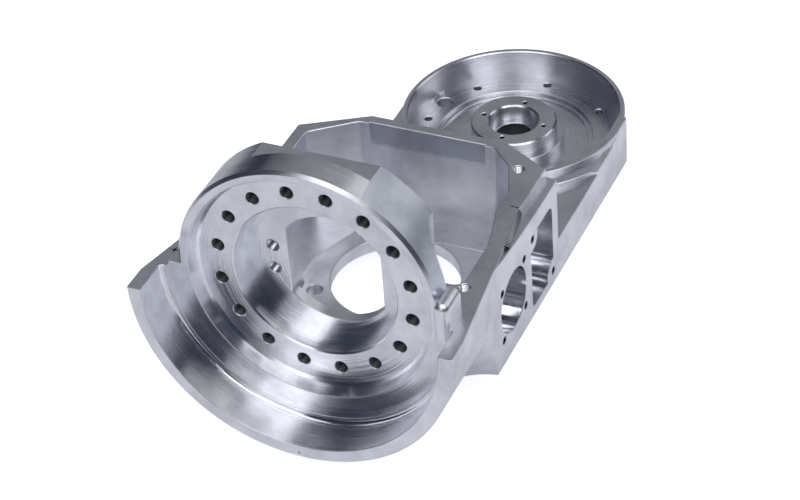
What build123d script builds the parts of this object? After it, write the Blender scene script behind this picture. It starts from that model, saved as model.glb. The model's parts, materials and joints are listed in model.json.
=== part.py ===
from build123d import *
import math
import os

# Arm housing of a robot joint, milled from one aluminium billet. Sizes are in millimetres.
# The origin is the centre of the flange's bolt circle, on the face that the bolts pull down on.
# Y is the flange's axis and runs into the body, Z is the axis of the dish at the far end.

# Flange ring, turned about Y
bolt_circle_radius = 37.5
bolt_hole_radius = 2.5
bolt_count = 16
counterbore_radius = 31.3
counterbore_depth = 10.0
lip_foot_radius = 45.3
lip_inner_radius = 46.3
lip_height = 6.0
lip_foot_fillet = 1.0
ring_radius = 50.2
ring_depth = 14.5
ring_edge_chamfer = 1.2
counterbore_mouth_chamfer = 0.5

# Window and two tapped holes in the web behind the counterbore
window_radius = 22.4
window_centre_x = 3.0
window_centre_z = -1.3
window_left_x = -14.5
window_right_x = 21.4
window_corner_radius = 2.5
web_hole_radius = 2.4
web_hole_x = -20.4
web_hole_upper_z = 3.8
web_hole_pitch = 9.8

# Half-round shroud in front of the lower half of the flange
shroud_radius = 61.5
shroud_reach = 24.0
shroud_bore_radius = 56.2
shroud_step_radius = 53.8
shroud_step_depth = 8.5
shroud_step_fillet = 1.8
shroud_edge_chamfer = 0.6

# Upright flats that narrow the shroud towards the box
taper_front_x = 61.3
taper_front_y = -12.3
taper_left_end_x = 52.0

# Stop lug with a round top, standing beside the ring on the right
lug_outer_x = 55.3
lug_top_radius = 2.9
lug_top_z = 11.1
lug_foot_z = -4.0
lug_front_y = -11.2
lug_back_y = 0.5
lug_front_fillet = 2.2

# Relief cuts on the upper half of the ring
top_flat_z = 45.0
top_flat_start_y = 5.5
side_relief_x = 40.4
side_relief_y = 13.0
side_cutter_radius = 10.6

# Open box behind the flange, with its rim in the plane z = 0
box_right_x = 57.0
box_left_x = 45.8
box_front_y = 25.3
box_height = 47.0
box_back_y = 99.2
box_side_end_y = 87.2
back_corner_left = 24.4
back_corner_angle = 30.0
back_corner_right_x = 51.4
back_corner_right_y = 88.3
neck_fillet = 15.0

# Pocket of the box
pocket_floor_z = 41.5
pocket_left_x = 41.0
pocket_back_y = 94.2
pocket_front_wall_radius = 56.0
pocket_corner_radius = 4.0
pocket_right_front_x = 49.4
pocket_right_mid_x = 45.0
pocket_step_start_y = 39.3
pocket_step_end_y = 57.6
pocket_taper_start_y = 69.9
pocket_taper_end_x = 39.1
pocket_taper_end_y = 85.3
pocket_back_right_x = 30.0
pocket_back_left_x = 24.6
pocket_back_left_y = 81.6
back_band_height = 9.2
back_band_depth = 0.8
shelf_height = 0.9
shelf_start_y = 83.0

# Round opening, small hole and raised pad in the pocket's floor
floor_hole_radius = 24.6
floor_hole_x = 2.6
floor_hole_y = 59.0
floor_hole_chamfer = 0.6
floor_drain_radius = 3.0
floor_drain_x = -23.0
floor_drain_y = 42.5
pad_height = 6.5
pad_edge_x = -27.3
pad_straight_end_y = 52.6
pad_wide_x = -19.6
pad_wide_y = 71.3

# Tapped holes in the rim
rim_hole_radius = 2.2
rim_hole_depth = 9.5
rim_hole_back = (43.3, 84.6)
rim_hole_front = (50.7, 14.0)

# Sloping ledge outside the right wall, for the cable duct
ledge_start_y = 25.0
ledge_middle_y = 45.0
ledge_middle_drop = 2.15
ledge_drop = 3.6
ledge_inner_x = 52.5
ledge_notch_x = 52.1
ledge_notch_y = 62.7
ledge_notch_run = 0.5
ledge_wall_front_y = 28.5

# Round connector seat in the right wall
plug_y = 42.8
plug_z = -25.7
plug_radius = 12.3
plug_screw_circle = 15.0
plug_depth = 12.5
side_screw_radius = 1.25
side_screw_depth = 7.0

# Oblong connector opening behind it, with a screw lug in two corners
socket_front_y = 60.3
socket_back_y = 82.1
socket_top_z = -11.0
socket_bottom_z = -43.0
socket_corner_radius = 2.5
socket_lug_radius = 5.3
socket_lug_upper = (61.9, -12.4)
socket_lug_lower = (81.1, -40.8)
socket_depth = 19.5

# Tongue and the dish at its end, turned about an axis parallel to Z
dish_x = 13.2
dish_y = 153.6
dish_outer_radius = 43.8
dish_inner_radius = 41.6
dish_rim_z = -26.0
dish_step_radius = 49.6
dish_step_z = -28.0
tongue_top_z = -30.5
dish_ledge_z = -38.0
dish_recess_radius = 31.0
dish_recess_z = -39.2
dish_floor_radius = 29.0
dish_floor_z = -40.0
dish_hole_circle = 36.9
dish_hole_radius = 1.6
dish_hole_count = 8
dish_hole_depth = 6.5
dish_rim_chamfer = 0.4
dish_inner_flat_x = 53.7
side_flat_end_y = 163.0
side_flat_width = 2.0
step_chamfer_width = 1.8
step_chamfer_drop = 1.2
step_chamfer_end_y = 147.0

# Hub in the middle of the dish, with a bearing seat
hub_radius = 17.0
hub_top_z = -30.5
hub_foot_radius = 19.5
hub_foot_z = -36.5
seat_radius = 9.75
seat_floor_z = -37.0
seat_lip_radius = 7.2
hub_hole_circle = 12.5
hub_hole_radius = 0.9
hub_hole_depth = 4.0
hub_edge_chamfer = 0.6

# Wire hole in the dish's ledge, and the low recess it has in the foot of the wall
wire_hole_radius = 3.4
wire_hole_angle = 160.0
wire_recess_circle = 39.6
wire_recess_angle = 158.0
wire_recess_height = 1.6

# Overshoot of the cuts, and how closely an edge is looked for
cut_margin = 1.0
edge_tolerance = 0.01


# Wall that the half-round neck keeps in front of the box
with BuildPart() as neck_wall:
    with BuildSketch(Plane.XZ.offset(-ring_depth)):
        Rectangle(4 * shroud_radius, 2 * shroud_radius)
        Circle(pocket_front_wall_radius, mode=Mode.SUBTRACT)
    extrude(amount=-(box_front_y - ring_depth))

# What the milling cutter takes out of the box from above
with BuildPart() as pocket_cut:
    with BuildSketch(Plane.XY.offset(-pocket_floor_z)):
        with BuildLine():
            Polyline(
                (-pocket_left_x, ring_depth),
                (pocket_right_front_x, ring_depth),
                (pocket_right_front_x, pocket_step_start_y),
                (pocket_right_mid_x, pocket_step_end_y),
                (pocket_right_mid_x, pocket_taper_start_y),
                (pocket_taper_end_x, pocket_taper_end_y),
                (pocket_back_right_x, pocket_back_y),
                (-pocket_back_left_x, pocket_back_y),
                (-pocket_left_x, pocket_back_left_y),
                close=True,
            )
        make_face()
    extrude(amount=pocket_floor_z + cut_margin)
    fillet(pocket_cut.edges().filter_by(Axis.Z), pocket_corner_radius)
    add(neck_wall.part, mode=Mode.SUBTRACT)

    # Shelf at the back and raised pad along the left wall, both left standing on the floor
    with BuildSketch(Plane.XY.offset(-pocket_floor_z)):
        with Locations((0, shelf_start_y + box_back_y / 2)):
            Rectangle(4 * box_right_x, box_back_y)
    extrude(amount=shelf_height, mode=Mode.SUBTRACT)
    with BuildSketch(Plane.XY.offset(-pocket_floor_z)):
        with BuildLine():
            Polyline(
                (-box_left_x, 0),
                (pad_edge_x, 0),
                (pad_edge_x, pad_straight_end_y),
                (pad_wide_x, pad_wide_y),
                (pad_wide_x, shelf_start_y),
                (-box_left_x, shelf_start_y),
                close=True,
            )
        make_face()
    extrude(amount=pad_height, mode=Mode.SUBTRACT)

# Concave flare where the neck runs out into the box's shoulder
with BuildPart() as neck_flare:
    flare_start = (shroud_radius, box_front_y - neck_fillet)
    flare_end = (shroud_radius + neck_fillet, box_front_y)
    with BuildSketch(Plane.XY):
        with BuildLine():
            RadiusArc(flare_start, flare_end, neck_fillet)
            Polyline(
                flare_end,
                (shroud_radius - cut_margin, box_front_y),
                (shroud_radius - cut_margin, box_front_y - neck_fillet),
                flare_start,
            )
        make_face()
    revolve(axis=Axis.Y, revolution_arc=180)
    with BuildSketch(Plane.XY.offset(-box_height)):
        with Locations((shroud_radius, box_front_y / 2)):
            Rectangle(2 * shroud_radius, box_front_y)
    extrude(amount=box_height, mode=Mode.INTERSECT)

# Wedge that the ledge takes off the right wall
with BuildPart() as ledge_cut:
    with BuildSketch(Plane.XY.offset(-ledge_drop - cut_margin)):
        with BuildLine():
            Polyline(
                (box_right_x, ledge_wall_front_y),
                (ledge_notch_x, ledge_notch_y),
                (ledge_inner_x, ledge_notch_y + ledge_notch_run),
                (ledge_inner_x, box_side_end_y + cut_margin),
                (box_right_x + cut_margin, box_side_end_y + cut_margin),
                (box_right_x + cut_margin, ledge_wall_front_y),
                close=True,
            )
        make_face()
    extrude(amount=ledge_drop + 2 * cut_margin)
    with BuildSketch(Plane.YZ):
        with BuildLine():
            ThreePointArc(
                (ledge_start_y, 0),
                (ledge_middle_y, -ledge_middle_drop),
                (box_side_end_y, -ledge_drop),
            )
            Polyline(
                (box_side_end_y, -ledge_drop),
                (box_side_end_y + cut_margin, -ledge_drop),
                (box_side_end_y + cut_margin, ledge_drop),
                (ledge_start_y, ledge_drop),
                (ledge_start_y, 0),
            )
        make_face()
    extrude(amount=2 * box_right_x, mode=Mode.INTERSECT)

# Raised step in front of the dish, with a chamfer on its right edge
with BuildPart() as raised_step:
    with BuildSketch(Plane.XY.offset(tongue_top_z)):
        with Locations((dish_x, dish_y)):
            Circle(dish_step_radius)
            Rectangle(2 * dish_outer_radius, 2 * dish_step_radius, mode=Mode.INTERSECT)
        with Locations((dish_x, dish_y + dish_step_radius)):
            Rectangle(2 * dish_step_radius, 2 * dish_step_radius, mode=Mode.SUBTRACT)
    extrude(amount=dish_step_z - tongue_top_z)
    with BuildSketch(Plane.XZ.offset(-step_chamfer_end_y)):
        with BuildLine():
            Polyline(
                (box_right_x - step_chamfer_width, dish_step_z),
                (box_right_x, dish_step_z - step_chamfer_drop),
                (box_right_x + cut_margin, dish_step_z - step_chamfer_drop),
                (box_right_x + cut_margin, dish_step_z),
                close=True,
            )
        make_face()
    extrude(amount=dish_step_radius, mode=Mode.SUBTRACT)

# Stop lug, rounded over its top and at its front end
with BuildPart() as stop_lug:
    lug_middle_x = lug_outer_x - lug_top_radius
    lug_middle_z = lug_top_z - lug_top_radius
    with BuildSketch(Plane.XZ.offset(-lug_back_y)):
        with Locations((lug_middle_x, lug_middle_z)):
            Circle(lug_top_radius)
        with Locations((lug_middle_x, (lug_middle_z + lug_foot_z) / 2)):
            Rectangle(2 * lug_top_radius, lug_middle_z - lug_foot_z)
    extrude(amount=lug_back_y - lug_front_y)
    fillet(stop_lug.edges().group_by(Axis.Y)[0].sort_by(Axis.Z)[1:], lug_front_fillet)

with BuildPart() as arm_housing:
    # Box with a cut-off corner on each side at the back
    corner_rise = back_corner_left * math.tan(math.radians(back_corner_angle))
    corner_run = (box_back_y - back_corner_right_y) / math.tan(math.radians(back_corner_angle))
    with BuildSketch(Plane.XY.offset(-box_height)):
        with BuildLine():
            Polyline(
                (box_right_x, box_front_y),
                (box_right_x, box_side_end_y),
                (back_corner_right_x, back_corner_right_y),
                (back_corner_right_x - corner_run, box_back_y),
                (-box_left_x + back_corner_left, box_back_y),
                (-box_left_x, box_back_y - corner_rise),
                (-box_left_x, box_front_y),
                close=True,
            )
        make_face()
    extrude(amount=box_height)

    # Tongue that carries the dish, the rim of the dish and the raised step
    with BuildSketch(Plane.XY.offset(-box_height)):
        with Locations((dish_x, (dish_y + box_side_end_y) / 2)):
            Rectangle(2 * dish_outer_radius, dish_y - box_side_end_y)
        with Locations((dish_x, dish_y)):
            Circle(dish_outer_radius)
    extrude(amount=box_height + tongue_top_z)
    with BuildSketch(Plane.XY.offset(tongue_top_z)):
        with Locations((dish_x, dish_y)):
            Circle(dish_outer_radius)
    extrude(amount=dish_rim_z - tongue_top_z)
    add(raised_step.part)

    # Flat of the right side, run on a little past the dish's middle
    with BuildSketch(Plane.XY.offset(-box_height)):
        with Locations((box_right_x - side_flat_width / 2, (dish_y + side_flat_end_y) / 2)):
            Rectangle(side_flat_width, side_flat_end_y - dish_y)
    extrude(amount=box_height + dish_rim_z)

    # Lower half of the neck and shroud
    with BuildSketch(Plane.XY):
        with BuildLine():
            Polyline(
                (0, -shroud_reach),
                (shroud_radius - shroud_edge_chamfer, -shroud_reach),
                (shroud_radius, -shroud_reach + shroud_edge_chamfer),
                (shroud_radius, box_front_y),
                (0, box_front_y),
                close=True,
            )
        make_face()
    revolve(axis=Axis.Y, revolution_arc=180)
    add(neck_flare.part)
    with BuildSketch(Plane.XY):
        with BuildLine():
            Polyline(
                (taper_front_x, taper_front_y),
                (box_right_x, box_front_y),
                (flare_end[0] + cut_margin, box_front_y),
                (flare_end[0] + cut_margin, taper_front_y),
                close=True,
            )
        make_face()
        with BuildLine():
            Polyline(
                (-taper_front_x, taper_front_y),
                (-taper_left_end_x, box_front_y),
                (-flare_end[0] - cut_margin, box_front_y),
                (-flare_end[0] - cut_margin, taper_front_y),
                close=True,
            )
        make_face()
    extrude(amount=-shroud_radius, mode=Mode.SUBTRACT)

    # Flange ring, full round
    with BuildSketch(Plane.XY):
        with BuildLine():
            Polyline(
                (0, -lip_height),
                (ring_radius - ring_edge_chamfer, -lip_height),
                (ring_radius, -lip_height + ring_edge_chamfer),
                (ring_radius, ring_depth),
                (0, ring_depth),
                close=True,
            )
        make_face()
    revolve(axis=Axis.Y)

    # Everything that the lathe takes out from the front
    step_corner = (shroud_bore_radius, -shroud_step_depth - shroud_step_fillet)
    step_floor = (shroud_bore_radius - shroud_step_fillet, -shroud_step_depth)
    lip_foot = (lip_foot_radius - lip_foot_fillet, 0)
    with BuildSketch(Plane.XY):
        with BuildLine():
            Polyline(
                lip_foot,
                (counterbore_radius + counterbore_mouth_chamfer, 0),
                (counterbore_radius, counterbore_mouth_chamfer),
                (counterbore_radius, counterbore_depth),
                (0, counterbore_depth),
                (0, -shroud_reach - cut_margin),
                (shroud_bore_radius, -shroud_reach - cut_margin),
                step_corner,
            )
            RadiusArc(step_corner, step_floor, -shroud_step_fillet)
            Polyline(
                step_floor,
                (shroud_step_radius, -shroud_step_depth),
                (shroud_step_radius, -lip_height),
                (lip_inner_radius, -lip_height),
                (lip_foot_radius, -lip_foot_fillet),
                lip_foot,
            )
        make_face()
    revolve(axis=Axis.Y, mode=Mode.SUBTRACT)

    # Flat on top of the ring and the cutter's relief on its right side
    with BuildSketch(Plane.XY.offset(top_flat_z)):
        with Locations((0, (top_flat_start_y + ring_depth + cut_margin) / 2)):
            Rectangle(2 * ring_radius, ring_depth + cut_margin - top_flat_start_y)
    extrude(amount=ring_radius, mode=Mode.SUBTRACT)
    relief_width = ring_radius + cut_margin - side_relief_x
    with BuildSketch(Plane.XY):
        with Locations((side_relief_x + side_cutter_radius, side_relief_y)):
            Circle(side_cutter_radius)
        with Locations((side_relief_x + relief_width / 2, side_relief_y + box_front_y / 2)):
            Rectangle(relief_width, box_front_y)
    extrude(amount=ring_radius, mode=Mode.SUBTRACT)

    # Stop lug beside the ring
    add(stop_lug.part)

    # Pocket of the box
    add(pocket_cut.part, mode=Mode.SUBTRACT)

    # Dark band near the top of the pocket's back wall, milled a little deeper
    back_flat_length = pocket_back_right_x + pocket_back_left_x - 2 * pocket_corner_radius
    with BuildSketch(Plane.XY):
        with Locations(((pocket_back_right_x - pocket_back_left_x) / 2, pocket_back_y)):
            Rectangle(back_flat_length, 2 * back_band_depth)
    extrude(amount=-back_band_height, mode=Mode.SUBTRACT)

    # Round opening in the floor and the small hole beside it
    with BuildSketch(Plane.XY.offset(-pocket_floor_z + pad_height)):
        with Locations((floor_hole_x, floor_hole_y)):
            Circle(floor_hole_radius)
        with Locations((floor_drain_x, floor_drain_y)):
            Circle(floor_drain_radius)
    extrude(amount=-box_height, mode=Mode.SUBTRACT)

    # Ledge outside the right wall
    add(ledge_cut.part, mode=Mode.SUBTRACT)

    # Tapped holes in the rim
    with BuildSketch(Plane.XY):
        with Locations(rim_hole_back, rim_hole_front):
            Circle(rim_hole_radius)
    extrude(amount=-rim_hole_depth, mode=Mode.SUBTRACT)

    # Connector openings in the right wall and their screw holes
    with BuildSketch(Plane.YZ.offset(box_right_x)):
        with Locations((plug_y, plug_z)):
            Circle(plug_radius)
    extrude(amount=-plug_depth, mode=Mode.SUBTRACT)
    socket_centre = ((socket_front_y + socket_back_y) / 2, (socket_top_z + socket_bottom_z) / 2)
    with BuildSketch(Plane.YZ.offset(box_right_x)):
        with Locations(socket_centre):
            RectangleRounded(
                socket_back_y - socket_front_y, socket_top_z - socket_bottom_z, socket_corner_radius
            )
        with Locations(socket_lug_upper, socket_lug_lower):
            Circle(socket_lug_radius, mode=Mode.SUBTRACT)
    extrude(amount=-socket_depth, mode=Mode.SUBTRACT)
    with BuildSketch(Plane.YZ.offset(box_right_x)):
        with Locations((plug_y, plug_z)):
            with PolarLocations(plug_screw_circle, 4, start_angle=45):
                Circle(side_screw_radius)
        with Locations(socket_lug_upper, socket_lug_lower):
            Circle(side_screw_radius)
    extrude(amount=-side_screw_depth, mode=Mode.SUBTRACT)

    # Window, web holes and bolt circle of the flange
    with BuildSketch(Plane.XZ.offset(-ring_depth)):
        with Locations((window_centre_x, window_centre_z)):
            Circle(window_radius)
        with Locations(((window_left_x + window_right_x) / 2, window_centre_z)):
            Rectangle(window_right_x - window_left_x, 2 * window_radius, mode=Mode.INTERSECT)
        fillet(vertices(), window_corner_radius)
        with Locations((web_hole_x, web_hole_upper_z), (web_hole_x, web_hole_upper_z - web_hole_pitch)):
            Circle(web_hole_radius)
        with PolarLocations(bolt_circle_radius, bolt_count, start_angle=180 / bolt_count):
            Circle(bolt_hole_radius)
    extrude(amount=ring_depth + cut_margin, mode=Mode.SUBTRACT)

    # Dish and hub, turned in one go, with the bearing seat
    dish_plane = Plane(origin=(dish_x, dish_y, 0), x_dir=(1, 0, 0), z_dir=(0, -1, 0))
    with BuildSketch(dish_plane):
        with BuildLine():
            Polyline(
                (0, dish_rim_z + cut_margin),
                (dish_inner_radius + dish_rim_chamfer, dish_rim_z + cut_margin),
                (dish_inner_radius + dish_rim_chamfer, dish_rim_z),
                (dish_inner_radius, dish_rim_z - dish_rim_chamfer),
                (dish_inner_radius, dish_ledge_z),
                (dish_recess_radius, dish_ledge_z),
                (dish_recess_radius, dish_recess_z),
                (dish_floor_radius, dish_recess_z),
                (dish_floor_radius, dish_floor_z),
                (hub_foot_radius, dish_floor_z),
                (hub_foot_radius, hub_foot_z),
                (hub_radius, hub_foot_z),
                (hub_radius, hub_top_z - hub_edge_chamfer),
                (hub_radius - hub_edge_chamfer, hub_top_z),
                (seat_radius + hub_edge_chamfer, hub_top_z),
                (seat_radius, hub_top_z - hub_edge_chamfer),
                (seat_radius, seat_floor_z),
                (seat_lip_radius, seat_floor_z),
                (seat_lip_radius, -box_height - cut_margin),
                (0, -box_height - cut_margin),
                close=True,
            )
        make_face()
    revolve(axis=Axis((dish_x, dish_y, 0), (0, 0, 1)), mode=Mode.SUBTRACT)

    # Inner flat that keeps the dish's wall thick beside the flat of the right side
    with BuildSketch(Plane.XY.offset(dish_ledge_z)):
        with Locations((dish_x, dish_y)):
            Circle(dish_outer_radius)
        with Locations(((dish_inner_flat_x + box_right_x) / 2, dish_y)):
            Rectangle(box_right_x - dish_inner_flat_x, 2 * dish_outer_radius, mode=Mode.INTERSECT)
    extrude(amount=dish_rim_z - dish_ledge_z)

    # Tapped holes in the dish's ledge and on the hub, and the wire hole with its recess
    with BuildSketch(Plane.XY.offset(dish_ledge_z)):
        with Locations((dish_x, dish_y)):
            with PolarLocations(dish_hole_circle, dish_hole_count):
                Circle(dish_hole_radius)
    extrude(amount=-dish_hole_depth, mode=Mode.SUBTRACT)
    with BuildSketch(Plane.XY.offset(hub_top_z)):
        with Locations((dish_x, dish_y)):
            with PolarLocations(hub_hole_circle, 4):
                Circle(hub_hole_radius)
    extrude(amount=-hub_hole_depth, mode=Mode.SUBTRACT)
    with BuildSketch(Plane.XY.offset(dish_ledge_z)):
        with Locations((dish_x, dish_y)):
            with PolarLocations(dish_hole_circle, 1, start_angle=wire_hole_angle):
                Circle(wire_hole_radius)
    extrude(amount=-box_height, mode=Mode.SUBTRACT)
    with BuildSketch(Plane.XY.offset(dish_ledge_z)):
        with Locations((dish_x, dish_y)):
            with PolarLocations(wire_recess_circle, 1, start_angle=wire_recess_angle):
                Circle(wire_hole_radius)
    extrude(amount=wire_recess_height, mode=Mode.SUBTRACT)

    # Broken edge of the floor's opening
    floor_edge = (
        arm_housing.edges()
        .filter_by(GeomType.CIRCLE)
        .filter_by(lambda e: abs(e.radius - floor_hole_radius) < edge_tolerance)
        .sort_by(Axis.Z)[-1]
    )
    chamfer(floor_edge, floor_hole_chamfer)

os.makedirs("parts", exist_ok=True)
arm_housing.part.label = "arm_housing"
export_step(arm_housing.part, "parts/arm_housing.step")
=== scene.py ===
import json
import math

import bmesh
import bpy
import numpy as np
from mathutils import Matrix


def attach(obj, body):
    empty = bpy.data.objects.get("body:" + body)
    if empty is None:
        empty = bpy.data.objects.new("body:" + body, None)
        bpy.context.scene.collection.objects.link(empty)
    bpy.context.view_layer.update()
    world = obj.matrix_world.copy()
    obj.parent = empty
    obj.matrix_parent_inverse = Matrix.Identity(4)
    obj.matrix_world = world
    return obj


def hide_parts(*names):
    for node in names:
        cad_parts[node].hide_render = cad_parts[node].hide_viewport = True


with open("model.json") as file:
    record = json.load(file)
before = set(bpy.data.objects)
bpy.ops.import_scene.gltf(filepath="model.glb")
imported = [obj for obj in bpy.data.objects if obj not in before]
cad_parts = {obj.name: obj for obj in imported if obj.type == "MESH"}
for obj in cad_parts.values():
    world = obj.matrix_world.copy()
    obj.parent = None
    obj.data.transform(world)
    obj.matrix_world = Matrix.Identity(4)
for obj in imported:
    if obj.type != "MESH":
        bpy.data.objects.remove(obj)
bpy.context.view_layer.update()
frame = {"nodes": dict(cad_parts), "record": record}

# Housing body: one billet of aluminium, turned at the flange and at the dish and milled everywhere
# else. The bench work afterwards breaks every outside edge by a quarter of a millimetre. The body is
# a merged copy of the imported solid, so that the broken edges can be cut into it.
break_width = 0.00025
break_angle = math.radians(50)
smooth_angle = math.radians(24)
flat_angle = math.radians(0.3)
merge_distance = 1e-6
hair = 1e-4
band_edge_z = -0.0092
band_front_y = 0.09


def is_broken(edge):
    """True for a sharp outside edge, apart from the one under the band on the pocket's back wall."""
    if not (edge.is_manifold and edge.is_convex and edge.calc_face_angle(0) > break_angle):
        return False
    return not all(abs(v.co.z - band_edge_z) < hair and v.co.y > band_front_y for v in edge.verts)


def broken_edges(packed, name):
    """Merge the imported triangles, join the ones in one plane, and cut a flat on each sharp outside edge."""
    work = bmesh.new()
    work.from_mesh(packed.data)
    bmesh.ops.remove_doubles(work, verts=work.verts, dist=merge_distance)
    bmesh.ops.dissolve_limit(work, angle_limit=flat_angle, verts=work.verts, edges=work.edges)
    for face in work.faces:
        face.material_index = 0
    bmesh.ops.bevel(
        work, geom=[e for e in work.edges if is_broken(e)], offset=break_width, offset_type="OFFSET",
        segments=1, profile=0.5, affect="EDGES", clamp_overlap=False, material=1, loop_slide=False,
    )
    mesh = bpy.data.meshes.new(name)
    work.to_mesh(mesh)
    work.free()
    if "custom_normal" in mesh.attributes:
        mesh.attributes.remove(mesh.attributes["custom_normal"])
    mesh.polygons.foreach_set("use_smooth", np.ones(len(mesh.polygons), bool))
    mesh.set_sharp_from_angle(angle=smooth_angle)
    body = bpy.data.objects.new(name, mesh)
    bpy.context.scene.collection.objects.link(body)
    return body


body = broken_edges(frame["nodes"]["arm_housing"], "machined_body")

# Metals of the body: it is bare aluminium all over, and each face shows the tool that cut it. The
# lathe leaves fine rings round an axis, the mill leaves lines along its feed, the broken edges are
# filed, and the walls of the holes off the drill are painted dark, as painted shade inside them.
bare = (0.89, 0.897, 0.955)
hazed = (0.83, 0.87, 0.955)
# The next colour is painted shade: the band on the pocket's back wall made darker than the bare metal.
shaded = (0.58, 0.60, 0.68)
# The next colour is painted shade for the insides of the holes, not a colour of the metal.
hole_shade_colour = (0.15, 0.155, 0.17)
handled_share = 0.80
turning_swing = 0.08
milling_strength = 0.35
flange_axis = (0, 1, 0)
flange_centre = (0, 0, 0)
dish_axis = (0, 0, 1)
dish_centre = (0.0132, 0.1536, 0)
plug_axis = (1, 0, 0)
plug_centre = (0, 0.0428, -0.0257)


def aluminium(name, colour, roughness):
    """A bare metal shader. Its colour darkens a little in soft patches, as handled metal does."""
    metal = bpy.data.materials.new(name)
    metal.use_nodes = True
    nodes, links = metal.node_tree.nodes, metal.node_tree.links
    shader = nodes["Principled BSDF"]
    shader.inputs["Metallic"].default_value = 1
    shader.inputs["Roughness"].default_value = roughness
    place = nodes.new("ShaderNodeTexCoord")
    patches = nodes.new("ShaderNodeTexNoise")
    patches.inputs["Scale"].default_value = 55
    patches.inputs["Detail"].default_value = 7
    patches.inputs["Roughness"].default_value = 0.65
    links.new(place.outputs["Object"], patches.inputs["Vector"])
    spread = nodes.new("ShaderNodeMapRange")
    spread.inputs["From Min"].default_value = 0.36
    spread.inputs["From Max"].default_value = 0.58
    links.new(patches.outputs["Fac"], spread.inputs["Value"])
    tint = nodes.new("ShaderNodeMix")
    tint.data_type = "RGBA"
    tint.inputs["A"].default_value = (*(handled_share * c for c in colour), 1)
    tint.inputs["B"].default_value = (*colour, 1)
    links.new(spread.outputs[0], tint.inputs["Factor"])
    links.new(tint.outputs["Result"], shader.inputs["Base Color"])
    return metal, nodes, links, shader, place


def worn_by(marks, roughness, swing, strength, nodes, links, shader):
    """Lay tool marks into the roughness, as far up and down as the swing, and into a faint bump."""
    tone = nodes.new("ShaderNodeMapRange")
    tone.inputs["To Min"].default_value = roughness - swing
    tone.inputs["To Max"].default_value = roughness + swing
    links.new(marks.outputs["Fac"], tone.inputs["Value"])
    links.new(tone.outputs[0], shader.inputs["Roughness"])
    bump = nodes.new("ShaderNodeBump")
    bump.inputs["Strength"].default_value = strength
    bump.inputs["Distance"].default_value = hair
    links.new(marks.outputs["Fac"], bump.inputs["Height"])
    links.new(bump.outputs[0], shader.inputs["Normal"])


def turned(name, axis, origin, colour, roughness, spread, strength):
    """Turning marks: noise over a point's distance from the axis and its height along it.

    round = axis x (place - origin), distance = length of round, height = axis . (place - origin)
    The highlight is drawn out across the marks by the spread.
    """
    metal, nodes, links, shader, place = aluminium(name, colour, roughness)
    shift = nodes.new("ShaderNodeVectorMath")
    shift.operation = "SUBTRACT"
    shift.inputs[1].default_value = origin
    links.new(place.outputs["Object"], shift.inputs[0])
    along = nodes.new("ShaderNodeVectorMath")
    along.operation = "CROSS_PRODUCT"
    along.inputs[0].default_value = axis
    links.new(shift.outputs[0], along.inputs[1])
    distance = nodes.new("ShaderNodeVectorMath")
    distance.operation = "LENGTH"
    links.new(along.outputs[0], distance.inputs[0])
    height = nodes.new("ShaderNodeVectorMath")
    height.operation = "DOT_PRODUCT"
    height.inputs[1].default_value = axis
    links.new(shift.outputs[0], height.inputs[0])
    rings = nodes.new("ShaderNodeCombineXYZ")
    links.new(distance.outputs["Value"], rings.inputs[0])
    links.new(height.outputs["Value"], rings.inputs[1])
    tangent = nodes.new("ShaderNodeVectorMath")
    tangent.operation = "NORMALIZE"
    links.new(along.outputs[0], tangent.inputs[0])
    links.new(tangent.outputs[0], shader.inputs["Tangent"])
    shader.inputs["Anisotropic"].default_value = spread
    shader.inputs["Anisotropic Rotation"].default_value = 0.25
    marks = nodes.new("ShaderNodeTexNoise")
    marks.noise_dimensions = "2D"
    marks.inputs["Scale"].default_value = 900
    marks.inputs["Detail"].default_value = 5
    links.new(rings.outputs[0], marks.inputs["Vector"])
    worn_by(marks, roughness, turning_swing, strength, nodes, links, shader)
    return metal


def milled(name, colour, roughness, stretch, swing):
    """Cutter marks: noise squeezed by the stretch across the feed, in the roughness and as a faint bump."""
    metal, nodes, links, shader, place = aluminium(name, colour, roughness)
    feed = nodes.new("ShaderNodeMapping")
    feed.inputs["Scale"].default_value = stretch
    links.new(place.outputs["Object"], feed.inputs["Vector"])
    marks = nodes.new("ShaderNodeTexNoise")
    marks.inputs["Scale"].default_value = 450
    marks.inputs["Detail"].default_value = 6
    links.new(feed.outputs[0], marks.inputs["Vector"])
    worn_by(marks, roughness, swing, milling_strength, nodes, links, shader)
    return metal


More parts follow.
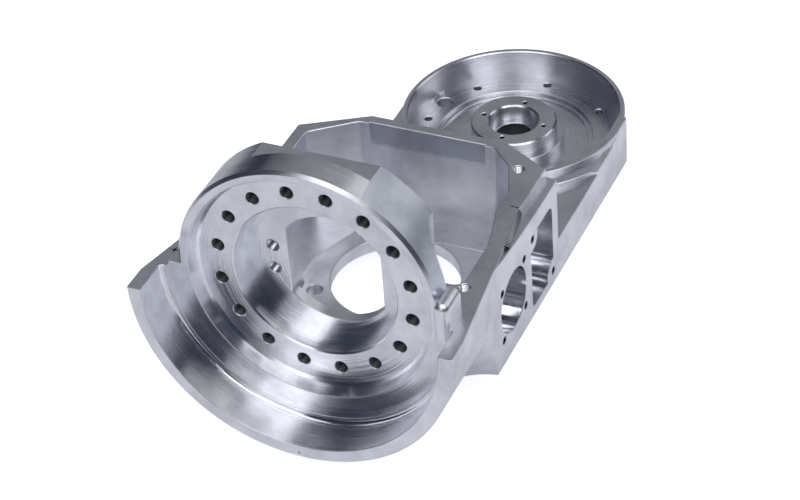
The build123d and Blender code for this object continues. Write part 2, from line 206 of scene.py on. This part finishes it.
metals = [
    turned("turned_flange", flange_axis, flange_centre, bare, roughness=0.21, spread=1.0, strength=0.6),
    milled("broken_edge", bare, roughness=0.42, stretch=(1, 1, 1), swing=0.08),
    turned("turned_dish", dish_axis, dish_centre, bare, roughness=0.24, spread=1.0, strength=0.5),
    milled("milled_top", bare, roughness=0.30, stretch=(1, 4, 1), swing=0.06),
    milled("milled_side", bare, roughness=0.30, stretch=(1, 1, 5), swing=0.06),
    # Hole walls: bare metal painted dark as the shade inside the holes.
    milled("drilled", hole_shade_colour, roughness=0.55, stretch=(1, 1, 1), swing=0.08),
    turned("faced_flange", flange_axis, flange_centre, bare, roughness=0.19, spread=0.5, strength=0.6),
    turned("faced_dish", dish_axis, dish_centre, bare, roughness=0.28, spread=0.5, strength=0.5),
    turned("bored", plug_axis, plug_centre, bare, roughness=0.14, spread=0.7, strength=0.3),
    # Band on the pocket's back wall: bare metal painted darker, as painted shade.
    milled("milled_band", shaded, roughness=0.36, stretch=(1, 4, 4), swing=0.08),
    milled("milled_socket", bare, roughness=0.14, stretch=(1, 5, 5), swing=0.05),
    milled("rounded_lug", bare, roughness=0.34, stretch=(1, 3, 1), swing=0.06),
    milled("milled_relief", hazed, roughness=0.40, stretch=(2.5, 0.35, 2.5), swing=0.12),
    turned("turned_chamfer", flange_axis, flange_centre, bare, roughness=0.34, spread=0.6, strength=0.3),
    turned("turned_bore", flange_axis, flange_centre, bare, roughness=0.25, spread=1.0, strength=0.4),
    turned("turned_fillet", flange_axis, flange_centre, bare, roughness=0.16, spread=0.8, strength=0.2),
]
finishes = {metal.name: metal for metal in metals}
finish_of = {name: number for number, name in enumerate(finishes)}

# Faces of the body, told apart by the tool that made them. Those round the flange's axis and the
# dish's axis came off the lathe, the plug's seat off the boring head, round holes off the drill, and
# the rest off the mill. A face square to an axis has nearly all of its normal along it.
X, Y, Z = 0, 1, 2
square = 0.99
near_square = 0.9
near_parallel = 0.3
parallel = 0.1
off_axis = 0.06
flange_reach = 0.0146
flange_inside = 0.030
ring_radius = 0.0504
ring_rim = 0.0496
top_flat_z = 0.045
relief_x = 0.0400
relief_front_y = 0.0022
brushed_from_x = 0.0225
chamfer_normal_y = -0.707
chamfer_slack = 0.05
chamfer_front_y = -0.0061
chamfer_back_y = -0.0047
bore_inside = 0.0530
fillet_circle = np.array([0.0544, -0.0103])
fillet_radius = 0.0018
lug_foot_z = -0.001
lug_back_y = 0.001
lug_underside = -0.5
dish_reach = 0.0497
dish_floor = -0.0401
tongue_top = -0.0305
hub_reach = 0.0171
plug_radius = 0.0123
plug_slack = 0.0003
plug_back_x = 0.044
socket_low = np.array([0.0375, 0.0602, -0.0431])
socket_high = np.array([0.0569, 0.0822, -0.0109])
band_back_y = 0.0955
band_half_width = 0.0301


def rows(collection, field, width, kind=float):
    """A field of every face, corner or vertex of the body, as one array with a row for each."""
    values = np.empty(len(collection) * width, kind)
    collection.foreach_get(field, values)
    return values.reshape(-1, width)


mounts = {mount["name"]: mount for mount in frame["record"]["mounts"]}
faces = body.data.polygons
centre = rows(faces, "center", 3)
normal = rows(faces, "normal", 3)
area = rows(faces, "area", 1)[:, 0]
is_edge_flat = rows(faces, "material_index", 1, int)[:, 0] == 1
x, y, z = centre.T
toward_x, toward_y, toward_z = normal.T


def off_turning(origin, axis):
    """Each face's distance from a turning axis, and how far its normal leans round that axis.

    lean = |tangent . normal|, where the tangent points round the axis and has length one
    """
    across = [i for i in range(3) if i != axis]
    position = centre[:, across] - np.array(origin)[across]
    radius = np.hypot(*position.T)
    tangent = np.stack([-position[:, 1], position[:, 0]], 1) / np.maximum(radius, merge_distance)[:, None]
    return radius, np.abs((tangent * normal[:, across]).sum(1))


def hole_wall(place, axis, radius, low, high):
    """The faces of a hole's wall: within its radius of the hole's middle line, and between two depths."""
    across = [i for i in range(3) if i != axis]
    away = np.hypot(*(centre[:, across] - np.array(place)[across]).T)
    within = (away < radius + hair) & (centre[:, axis] > low) & (centre[:, axis] < high)
    return within & (np.abs(normal[:, axis]) < near_parallel)


def hole_radius(mount):
    """The radius in metres of a hole, or of the holes of a circle, that the frame's record states."""
    dims = mounts[mount]["dims"]
    return (dims["r_mm"] if "r_mm" in dims else dims["hole_r_mm"]) / 1000


def on_circle(mount, axis, first_angle):
    """The hole centres of a bolt circle that the frame's record states, from its first hole's angle."""
    dims, place = mounts[mount]["dims"], np.array(mounts[mount]["pos_m"])
    across = [i for i in range(3) if i != axis]
    angle = math.radians(first_angle) + 2 * math.pi * np.arange(dims["count"]) / dims["count"]
    centres = np.tile(place, (dims["count"], 1))
    centres[:, across] += dims["pcd_mm"] / 2 / 1000 * np.stack([np.cos(angle), np.sin(angle)], 1)
    return centres


flange_holes = on_circle("flange_bolts", Y, first_angle=11.25)
web_holes = np.array([[-0.0204, 0.010, 0.0038], [-0.0204, 0.010, -0.0060]])
dish_holes = on_circle("dish_bolts", Z, first_angle=0)
hub_holes = on_circle("hub_screws", Z, first_angle=0)
plug_holes = on_circle("plug_screws", X, first_angle=45)
socket_holes = np.array([[0.057, 0.0619, -0.0124], [0.057, 0.0811, -0.0408]])
side_holes = np.concatenate([plug_holes, socket_holes])
rim_holes = np.array([[0.0433, 0.0846, 0], [0.0507, 0.0140, 0]])
# For each kind of hole: its mouths, the axis, the mount that states its radius, and the wall's two ends.
hole_walls = [
    (flange_holes, Y, "flange_bolts", 0.0002, 0.0147),
    (web_holes, Y, "web_holes", 0.0100, 0.0147),
    (dish_holes, Z, "dish_bolts", -0.0450, -0.0380),
    (hub_holes, Z, "hub_screws", -0.0350, -0.0305),
    (side_holes, X, "plug_screws", 0.0499, 0.0571),
    (rim_holes, Z, "rim_hole_back", -0.0096, 0.0001),
    ([dish_centre], Z, "seat_lip_bore", -0.0480, -0.0370),
]

flange_radius, flange_lean = off_turning(flange_centre, Y)
dish_radius, dish_lean = off_turning(dish_centre, Z)
plug_away = off_turning(plug_centre, X)[0]
faces_flange_way = np.abs(toward_y) > square
beside_ring = (flange_radius > ring_radius) & (z > lug_foot_z)
on_top_flat = (toward_z > square) & (np.abs(z - top_flat_z) < hair)
round_flange = (y < flange_reach) & (flange_lean < off_axis) & ~beside_ring & ~on_top_flat
round_flange &= faces_flange_way | (flange_radius > flange_inside)
section = np.stack([flange_radius, y], 1) - fillet_circle
on_fillet = (np.abs(np.hypot(*section.T) - fillet_radius) < hair) & np.all(section > -hair, axis=1)
on_fillet &= (z < 0) & ~is_edge_flat
round_flange |= on_fillet
on_chamfer = round_flange & (np.abs(toward_y - chamfer_normal_y) < chamfer_slack)
on_chamfer &= (y > chamfer_front_y) & (y < chamfer_back_y)
in_bore = round_flange & (flange_radius > bore_inside) & (y < 0)
on_relief = (flange_radius < ring_radius) & (x > relief_x) & (z > 0)
on_relief &= (y > relief_front_y) & (y < flange_reach) & (np.abs(toward_z) < parallel)
brushed_ring = (flange_radius > ring_rim) & (flange_radius < ring_radius) & (np.abs(toward_y) < parallel)
on_relief |= brushed_ring & (x > brushed_from_x) & (z > 0) & ~on_top_flat
on_tongue = (toward_z > near_square) & (np.abs(z - tongue_top) < hair) & (dish_radius > hub_reach)
round_dish = (dish_radius < dish_reach) & (z > dish_floor) & (dish_lean < off_axis) & ~on_tongue
round_plug = (np.abs(plug_away - plug_radius) < plug_slack) & (x > plug_back_x)
in_socket = np.all((centre > socket_low) & (centre < socket_high), axis=1)
in_socket &= np.abs(toward_x) < near_parallel
in_band = (z > band_edge_z) & (y > band_front_y) & (toward_y < -near_square)
in_band &= (y < band_back_y) & (np.abs(x) < band_half_width)
on_lug = beside_ring & (toward_z > lug_underside) & (y < lug_back_y)
drilled = np.zeros(len(faces), bool)
for mouths, axis, mount, low, high in hole_walls:
    for mouth in mouths:
        drilled |= hole_wall(mouth, axis, hole_radius(mount), low, high)
drilled &= ~is_edge_flat

kind = np.where(toward_z > near_square, finish_of["milled_top"], finish_of["milled_side"])
chosen_for = [
    ("turned_flange", round_flange),
    ("faced_flange", round_flange & faces_flange_way),
    ("turned_chamfer", on_chamfer),
    ("turned_bore", in_bore),
    ("turned_fillet", on_fillet),
    ("milled_relief", on_relief),
    ("turned_dish", round_dish),
    ("faced_dish", round_dish & (toward_z > square)),
    ("milled_band", in_band),
    ("milled_socket", in_socket),
    ("bored", round_plug),
    ("rounded_lug", on_lug),
    ("broken_edge", is_edge_flat),
    ("drilled", drilled),
]
for finish, chosen in chosen_for:
    kind[chosen] = finish_of[finish]
faces.foreach_set("material_index", kind.astype(np.int32))
for metal in metals:
    body.data.materials.append(metal)

# Round surfaces of the body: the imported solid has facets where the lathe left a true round. Their
# corners get the normals of that round, so that a highlight runs over it without breaks.
most_facets = 16
tiny = 1e-12
corner_vertex = rows(body.data.loops, "vertex_index", 1, int)[:, 0]
corner_face = np.repeat(np.arange(len(faces)), rows(faces, "loop_total", 1, int)[:, 0])
corners = rows(body.data.corner_normals, "vector", 3)
points = rows(body.data.vertices, "co", 3)


def round_normals(chosen, origin, axis, corners):
    """Give each corner of the chosen faces the normal of the round surface that the facets stand for.

    A facet's normal is split into its share outwards and its share along the axis. At each vertex the
    shares of facets in line with each other are averaged, and turned into the vertex's own direction.
    """
    origin = np.array(origin, float)
    across = np.array([i != axis for i in range(3)])
    which = np.flatnonzero(chosen[corner_face])
    which = which[np.argsort(corner_vertex[which], kind="stable")]
    vertex, face = corner_vertex[which], corner_face[which]
    outwards = (centre - origin) * across
    outwards /= np.maximum(np.linalg.norm(outwards, axis=1), merge_distance)[:, None]
    share = np.stack([(normal * outwards).sum(1), normal[:, axis]], 1)
    share /= np.maximum(np.linalg.norm(share, axis=1), merge_distance)[:, None]
    own = share[face]
    total = own * area[face, None]
    for step in range(1, most_facets):
        same = vertex[step:] == vertex[:-step]
        same &= (own[step:] * own[:-step]).sum(1) > math.cos(smooth_angle)
        first, second = np.flatnonzero(same), np.flatnonzero(same) + step
        total[first] += own[second] * area[face[second], None]
        total[second] += own[first] * area[face[first], None]
    total /= np.maximum(np.linalg.norm(total, axis=1), tiny)[:, None]
    away = (points[vertex] - origin) * across
    away /= np.maximum(np.linalg.norm(away, axis=1), merge_distance)[:, None]
    corners[which] = away * total[:, :1]
    corners[which, axis] = total[:, 1]


def fillet_normals(chosen, corners):
    """Point each corner of the fillet in the shroud's step at the middle of the fillet's own round.

    way = ((circle radius / distance from axis - 1) x, circle y - y, the same share of z), to length one
    """
    which = np.flatnonzero(chosen[corner_face])
    place = points[corner_vertex[which]]
    inwards = fillet_circle[0] / np.hypot(place[:, 0], place[:, 2]) - 1
    way = np.stack([inwards * place[:, 0], fillet_circle[1] - place[:, 1], inwards * place[:, 2]], 1)
    corners[which] = way / np.linalg.norm(way, axis=1)[:, None]


round_normals(round_flange & ~drilled & ~on_fillet, flange_centre, Y, corners)
round_normals(round_dish & ~drilled, dish_centre, Z, corners)
round_normals(round_plug, plug_centre, X, corners)
fillet_normals(on_fillet, corners)
body.data.normals_split_custom_set(corners.tolist())
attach(body, "root")
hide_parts("arm_housing")

# Threads of the tapped holes: one ridge that climbs round each wall, cut with a tap, so that it is
# part of the body. The holes of the flange, the dish and the side are painted dark as the shade
# inside them, and those in the rim and the web keep the bright colour of the milled metal.
# The black below is painted shade in the side's holes and between the chatter ribs, and the dark of the
# grease rings, the stop line and the nicks.
black = (0.05, 0.05, 0.055)
deep_black = milled("deep_black", black, roughness=0.55, stretch=(1, 1, 1), swing=0.08)
steps_per_turn = 18
ridge_share = 0.55
root_gap = 1e-5


def piece(name, vertices, polygons, metal, crease):
    """A fine part of the body's surface, with its own metal and with edges sharper than the crease kept."""
    mesh = bpy.data.meshes.new(name)
    mesh.from_pydata(np.asarray(vertices).reshape(-1, 3).tolist(), [], polygons)
    mesh.polygons.foreach_set("use_smooth", np.ones(len(mesh.polygons), bool))
    mesh.set_sharp_from_angle(angle=math.radians(crease))
    mesh.materials.append(metal)
    part = bpy.data.objects.new(name, mesh)
    bpy.context.scene.collection.objects.link(part)
    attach(part, "root")
    return part


def grid(lines, columns):
    """The quads of a net of points with that many lines and columns."""
    return [
        (r * columns + c, r * columns + c + 1, (r + 1) * columns + c + 1, (r + 1) * columns + c)
        for r in range(lines - 1) for c in range(columns - 1)
    ]


def thread(name, mouths, axis, radius, depth, pitch, metal):
    """Ridges of tapped holes, from each mouth inwards along an axis.

    along = pitch (turn + share), away = radius - ridge (1 - |2 share - 1|), angle = 2 pi turn
    """
    stations = np.arange(0, depth / pitch - 1, 1 / steps_per_turn)
    turn, share = np.meshgrid(stations, np.array([0, 0.5, 1]), indexing="ij")
    along = pitch * (turn + share) + hair
    away = radius - root_gap - ridge_share * pitch * (1 - np.abs(2 * share - 1))
    axis = np.array(axis, float)
    side = np.roll(np.abs(axis), 1)
    up = np.cross(axis, side)
    circle = np.cos(2 * np.pi * turn)[..., None] * side + np.sin(2 * np.pi * turn)[..., None] * up
    ridge = (along[..., None] * axis + away[..., None] * circle).reshape(-1, 3)
    net = grid(len(stations), 3)
    vertices = np.concatenate([ridge + mouth for mouth in mouths])
    polygons = [[i + hole * len(ridge) for i in quad] for hole in range(len(mouths)) for quad in net]
    return piece(name, vertices, polygons, metal, crease=30)


flange_tap = {"radius": hole_radius("flange_bolts"), "depth": 0.0140, "pitch": 0.0008}
web_tap = {"radius": hole_radius("web_holes"), "depth": 0.0043, "pitch": 0.0007}
rim_tap = {"radius": hole_radius("rim_hole_back"), "depth": 0.0090, "pitch": 0.0007}
dish_tap = {"radius": hole_radius("dish_bolts"), "depth": 0.0060, "pitch": 0.0005}
side_tap = {"radius": hole_radius("plug_screws"), "depth": 0.0065, "pitch": 0.00045}
thread("flange_threads", flange_holes, (0, 1, 0), metal=finishes["drilled"], **flange_tap)
thread("web_threads", web_holes, (0, 1, 0), metal=finishes["milled_side"], **web_tap)
thread("rim_threads", rim_holes, (0, 0, -1), metal=finishes["milled_side"], **rim_tap)
thread("dish_threads", dish_holes, (0, 0, -1), metal=finishes["drilled"], **dish_tap)
# The side's threads are painted black as the shade deep in their holes.
thread("side_threads", side_holes, (-1, 0, 0), metal=deep_black, **side_tap)

# Chatter marks on the wall beside the ledge: slanting ribs that the end mill left from the rim's edge
# down onto the ledge, with painted shade between them, and a stop line across the rim at their back end.
rib_count = 16
rib_share = 0.5
rib_height = 0.00012
rib_slant = 0.0015
rib_facing = np.array([0.8, 0, 0.6])
wall_top = 3e-5
film = 2e-5
foot_out = np.array([0.0006, 0.0013])
top_back = np.array([0.0521, 0.0622, wall_top])
top_front = np.array([0.0552, 0.0398, wall_top])
ledge_y = (0.025, 0.045, 0.065)
ledge_z = (0.0, -0.00205, -0.0033)


def chatter(stations, raised):
    """Top and foot points of the ribbed wall at each station.

    top runs from its back end to its front end, and foot = top + (out, slant, height of the ledge)
    """
    share = np.asarray(stations)[:, None] / rib_count
    top = top_back + share * (top_front - top_back)
    foot = top + np.array([0, rib_slant, 0])
    foot[:, 0] += foot_out[0] + share[:, 0] * (foot_out[1] - foot_out[0])
    foot[:, 2] = np.interp(foot[:, 1], ledge_y, ledge_z)
    lift = raised * rib_facing
    return np.stack([top + lift, foot + lift], 1)


starts = np.arange(rib_count)
edges = np.stack([starts, starts + rib_share], 1).ravel()
ribs = np.stack([chatter(edges, rib_height), chatter(edges, 0)], 1).reshape(-1, 8, 3)
rib_sides = [(0, 1, 5, 4), (0, 4, 6, 2), (1, 3, 7, 5), (2, 6, 7, 3), (0, 2, 3, 1)]
rib_faces = [[8 * rib + i for i in side] for rib in range(rib_count) for side in rib_sides]
piece("chatter_ribs", ribs, rib_faces, finishes["milled_side"], crease=20)
# A black sheet under the ribs: painted shade in the gaps between them.
gap_stations = np.arange(rib_count + 1)
piece("chatter_gaps", chatter(gap_stations, 0), grid(rib_count + 1, 2), deep_black, crease=20)
stop_line = [(0.0488, 0.0631, film), (0.0488, 0.0626, film), (0.0521, 0.0624, film), (0.0521, 0.0629, film)]
piece("stop_line", stop_line, [(0, 1, 2, 3)], deep_black, crease=20)

# Dirt rings: black grease round the mouths of the side's tapped holes, pressed out by the screws and
# left in a thin film on the bare metal.
side_face_x = 0.057
grease_points = 24
grease_inside = hole_radius("plug_screws") - root_gap
grease_outside = 0.0016
turn = np.linspace(0, 2 * np.pi, grease_points, endpoint=False)
ring = np.stack([np.full(grease_points, film), np.cos(turn), np.sin(turn)], 1)
grease = np.stack([ring * (1, size, size) for size in (grease_inside, grease_outside)], 1).reshape(-1, 3)
around = np.concatenate([grease + (side_face_x, *mouth[1:]) for mouth in side_holes])
grease_faces = [
    [hole * len(grease) + corner % len(grease) for corner in (2 * i, 2 * i + 1, 2 * i + 3, 2 * i + 2)]
    for hole in range(len(side_holes)) for i in range(grease_points)
]
piece("side_grease", around, grease_faces, deep_black, crease=20)

# Nicks: two small knocks that the bare metal took in handling, on the rim at the left and on the shroud's
# front face, drawn as flat black stars. Each is a star of a few points, given by place, facing and size.
nick_points = 12
nick_tips = 4
nick_middle = 0.55
nick_swing = 0.45
nicks = [
    ((-0.0549, 0.0006, 0), (0, 0, 1), 0.0019),
    ((-0.0001, -0.0240, -0.0593), (0, -1, 0), 0.0007),
]
for number, (place, facing, size) in enumerate(nicks):
    facing = np.array(facing, float)
    side = np.roll(facing, 1)
    up = np.cross(facing, side)
    angle = np.linspace(0, 2 * np.pi, nick_points, endpoint=False)
    reach = size * (nick_middle + nick_swing * np.cos(nick_tips * angle + number))
    rim = reach[:, None] * (np.cos(angle)[:, None] * side + np.sin(angle)[:, None] * up)
    star = np.concatenate([[[0, 0, 0]], rim]) + np.array(place) + facing * film
    fan = [(0, 1 + i, 1 + (i + 1) % nick_points) for i in range(nick_points)]
    piece(f"nick_{number + 1}", star, fan, deep_black, crease=30)

# Floor: a plain white sheet that the housing lies on. It touches the shroud's underside at its back
# end and the back edge of the dish. It is lit to white and keeps the housing's shadow.
rest_front = np.array([0.02505, -0.0615])
rest_back = np.array([0.1974, -0.047])
floor_slope = math.atan2(*(rest_back - rest_front)[::-1])
floor_size = 1.6
glow_to_camera = 0.80
glow_to_metal = 0.08
floor_mesh = bpy.data.meshes.new("floor")
half = floor_size / 2
floor_mesh.from_pydata(
    [(-half, -half, 0), (half, -half, 0), (half, half, 0), (-half, half, 0)], [], [(0, 1, 2, 3)]
)
floor_mesh.transform(Matrix.Rotation(floor_slope, 4, "X"))
floor_mesh.transform(Matrix.Translation((0, *rest_front)))
floor = bpy.data.objects.new("floor", floor_mesh)
bpy.context.scene.collection.objects.link(floor)
paper = bpy.data.materials.new("white_paper")
paper.use_nodes = True
nodes, links = paper.node_tree.nodes, paper.node_tree.links
sheet = nodes["Principled BSDF"]
sheet.inputs["Base Color"].default_value = (0.87, 0.89, 0.93, 1)
sheet.inputs["Roughness"].default_value = 0.9
glow = nodes.new("ShaderNodeEmission")
rays = nodes.new("ShaderNodeLightPath")
seen = nodes.new("ShaderNodeMath")
seen.operation = "MULTIPLY_ADD"
seen.inputs[1].default_value = glow_to_camera
links.new(rays.outputs["Is Camera Ray"], seen.inputs[0])
mirrored = nodes.new("ShaderNodeMath")
mirrored.operation = "MULTIPLY"
mirrored.inputs[1].default_value = glow_to_metal
links.new(rays.outputs["Is Glossy Ray"], mirrored.inputs[0])
links.new(mirrored.outputs[0], seen.inputs[2])
links.new(seen.outputs[0], glow.inputs["Strength"])
both = nodes.new("ShaderNodeAddShader")
links.new(sheet.outputs[0], both.inputs[0])
links.new(glow.outputs[0], both.inputs[1])
links.new(both.outputs[0], nodes["Material Output"].inputs["Surface"])
floor_mesh.materials.append(paper)

# Studio: a dim room with one large soft box overhead, smaller ones to the front, to the right and
# behind the right, a weak one at the back left, and a small one behind. The camera sees it white.
room = bpy.data.worlds.new("room")
bpy.context.scene.world = room
room.use_nodes = True
nodes, links = room.node_tree.nodes, room.node_tree.links
nodes["Background"].inputs["Color"].default_value = (0.024, 0.030, 0.048, 1)
nodes["Background"].inputs["Strength"].default_value = 1
white = nodes.new("ShaderNodeBackground")
rays = nodes.new("ShaderNodeLightPath")
mix = nodes.new("ShaderNodeMixShader")
links.new(rays.outputs["Is Camera Ray"], mix.inputs[0])
links.new(nodes["Background"].outputs[0], mix.inputs[1])
links.new(white.outputs[0], mix.inputs[2])
links.new(mix.outputs[0], nodes["World Output"].inputs["Surface"])
lamp_distance = 1.5
lamp_aim = np.array([0.0, 0.08, -0.01])


def soft_box(name, direction, wide, high, brightness):
    """An area lamp that faces the housing from a direction, with its half angles and how bright it looks.

    size = 2 distance tan(half angle), power = brightness pi width height
    """
    lamp = bpy.data.lights.new(name, "AREA")
    lamp.shape = "RECTANGLE"
    lamp.size = 2 * lamp_distance * math.tan(math.radians(wide))
    lamp.size_y = 2 * lamp_distance * math.tan(math.radians(high))
    lamp.energy = brightness * math.pi * lamp.size * lamp.size_y
    holder = bpy.data.objects.new(name, lamp)
    way = np.array(direction) / np.linalg.norm(direction)
    holder.location = lamp_aim + way * lamp_distance
    side = np.cross((0, 0, 1), way)
    side /= np.linalg.norm(side)
    up = np.cross(way, side)
    holder.rotation_euler = Matrix(np.stack([side, up, way], 1).tolist()).to_euler()
    bpy.context.scene.collection.objects.link(holder)


soft_box("overhead_box", (0.12, -0.22, 0.97), wide=33, high=30, brightness=1.42)
soft_box("front_box", (-0.03, -0.90, 0.42), wide=14, high=20, brightness=0.95)
soft_box("right_box", (0.59, -0.34, 0.73), wide=12, high=10, brightness=1.1)
soft_box("back_box", (0.63, 0.53, 0.57), wide=12, high=18, brightness=0.9)
soft_box("left_wall", (-0.35, 0.71, 0.61), wide=22, high=16, brightness=0.20)
soft_box("back_panel", (0.24, 0.70, 0.67), wide=9, high=9, brightness=0.65)

# Camera: a long lens at the photograph's viewing angle. Its place was found from the circle of the
# sixteen bolt holes.
lens = bpy.data.cameras.new("camera")
lens.lens = 120.8
lens.sensor_width = 36
lens.clip_end = 20
camera = bpy.data.objects.new("camera", lens)
camera.location = (0.34881, -0.64698, 0.57578)
camera.rotation_euler = (math.radians(52.3594), math.radians(3.4785), math.radians(23.2670))
bpy.context.scene.collection.objects.link(camera)
bpy.context.scene.camera = camera
bpy.context.scene.view_settings.view_transform = "Standard"
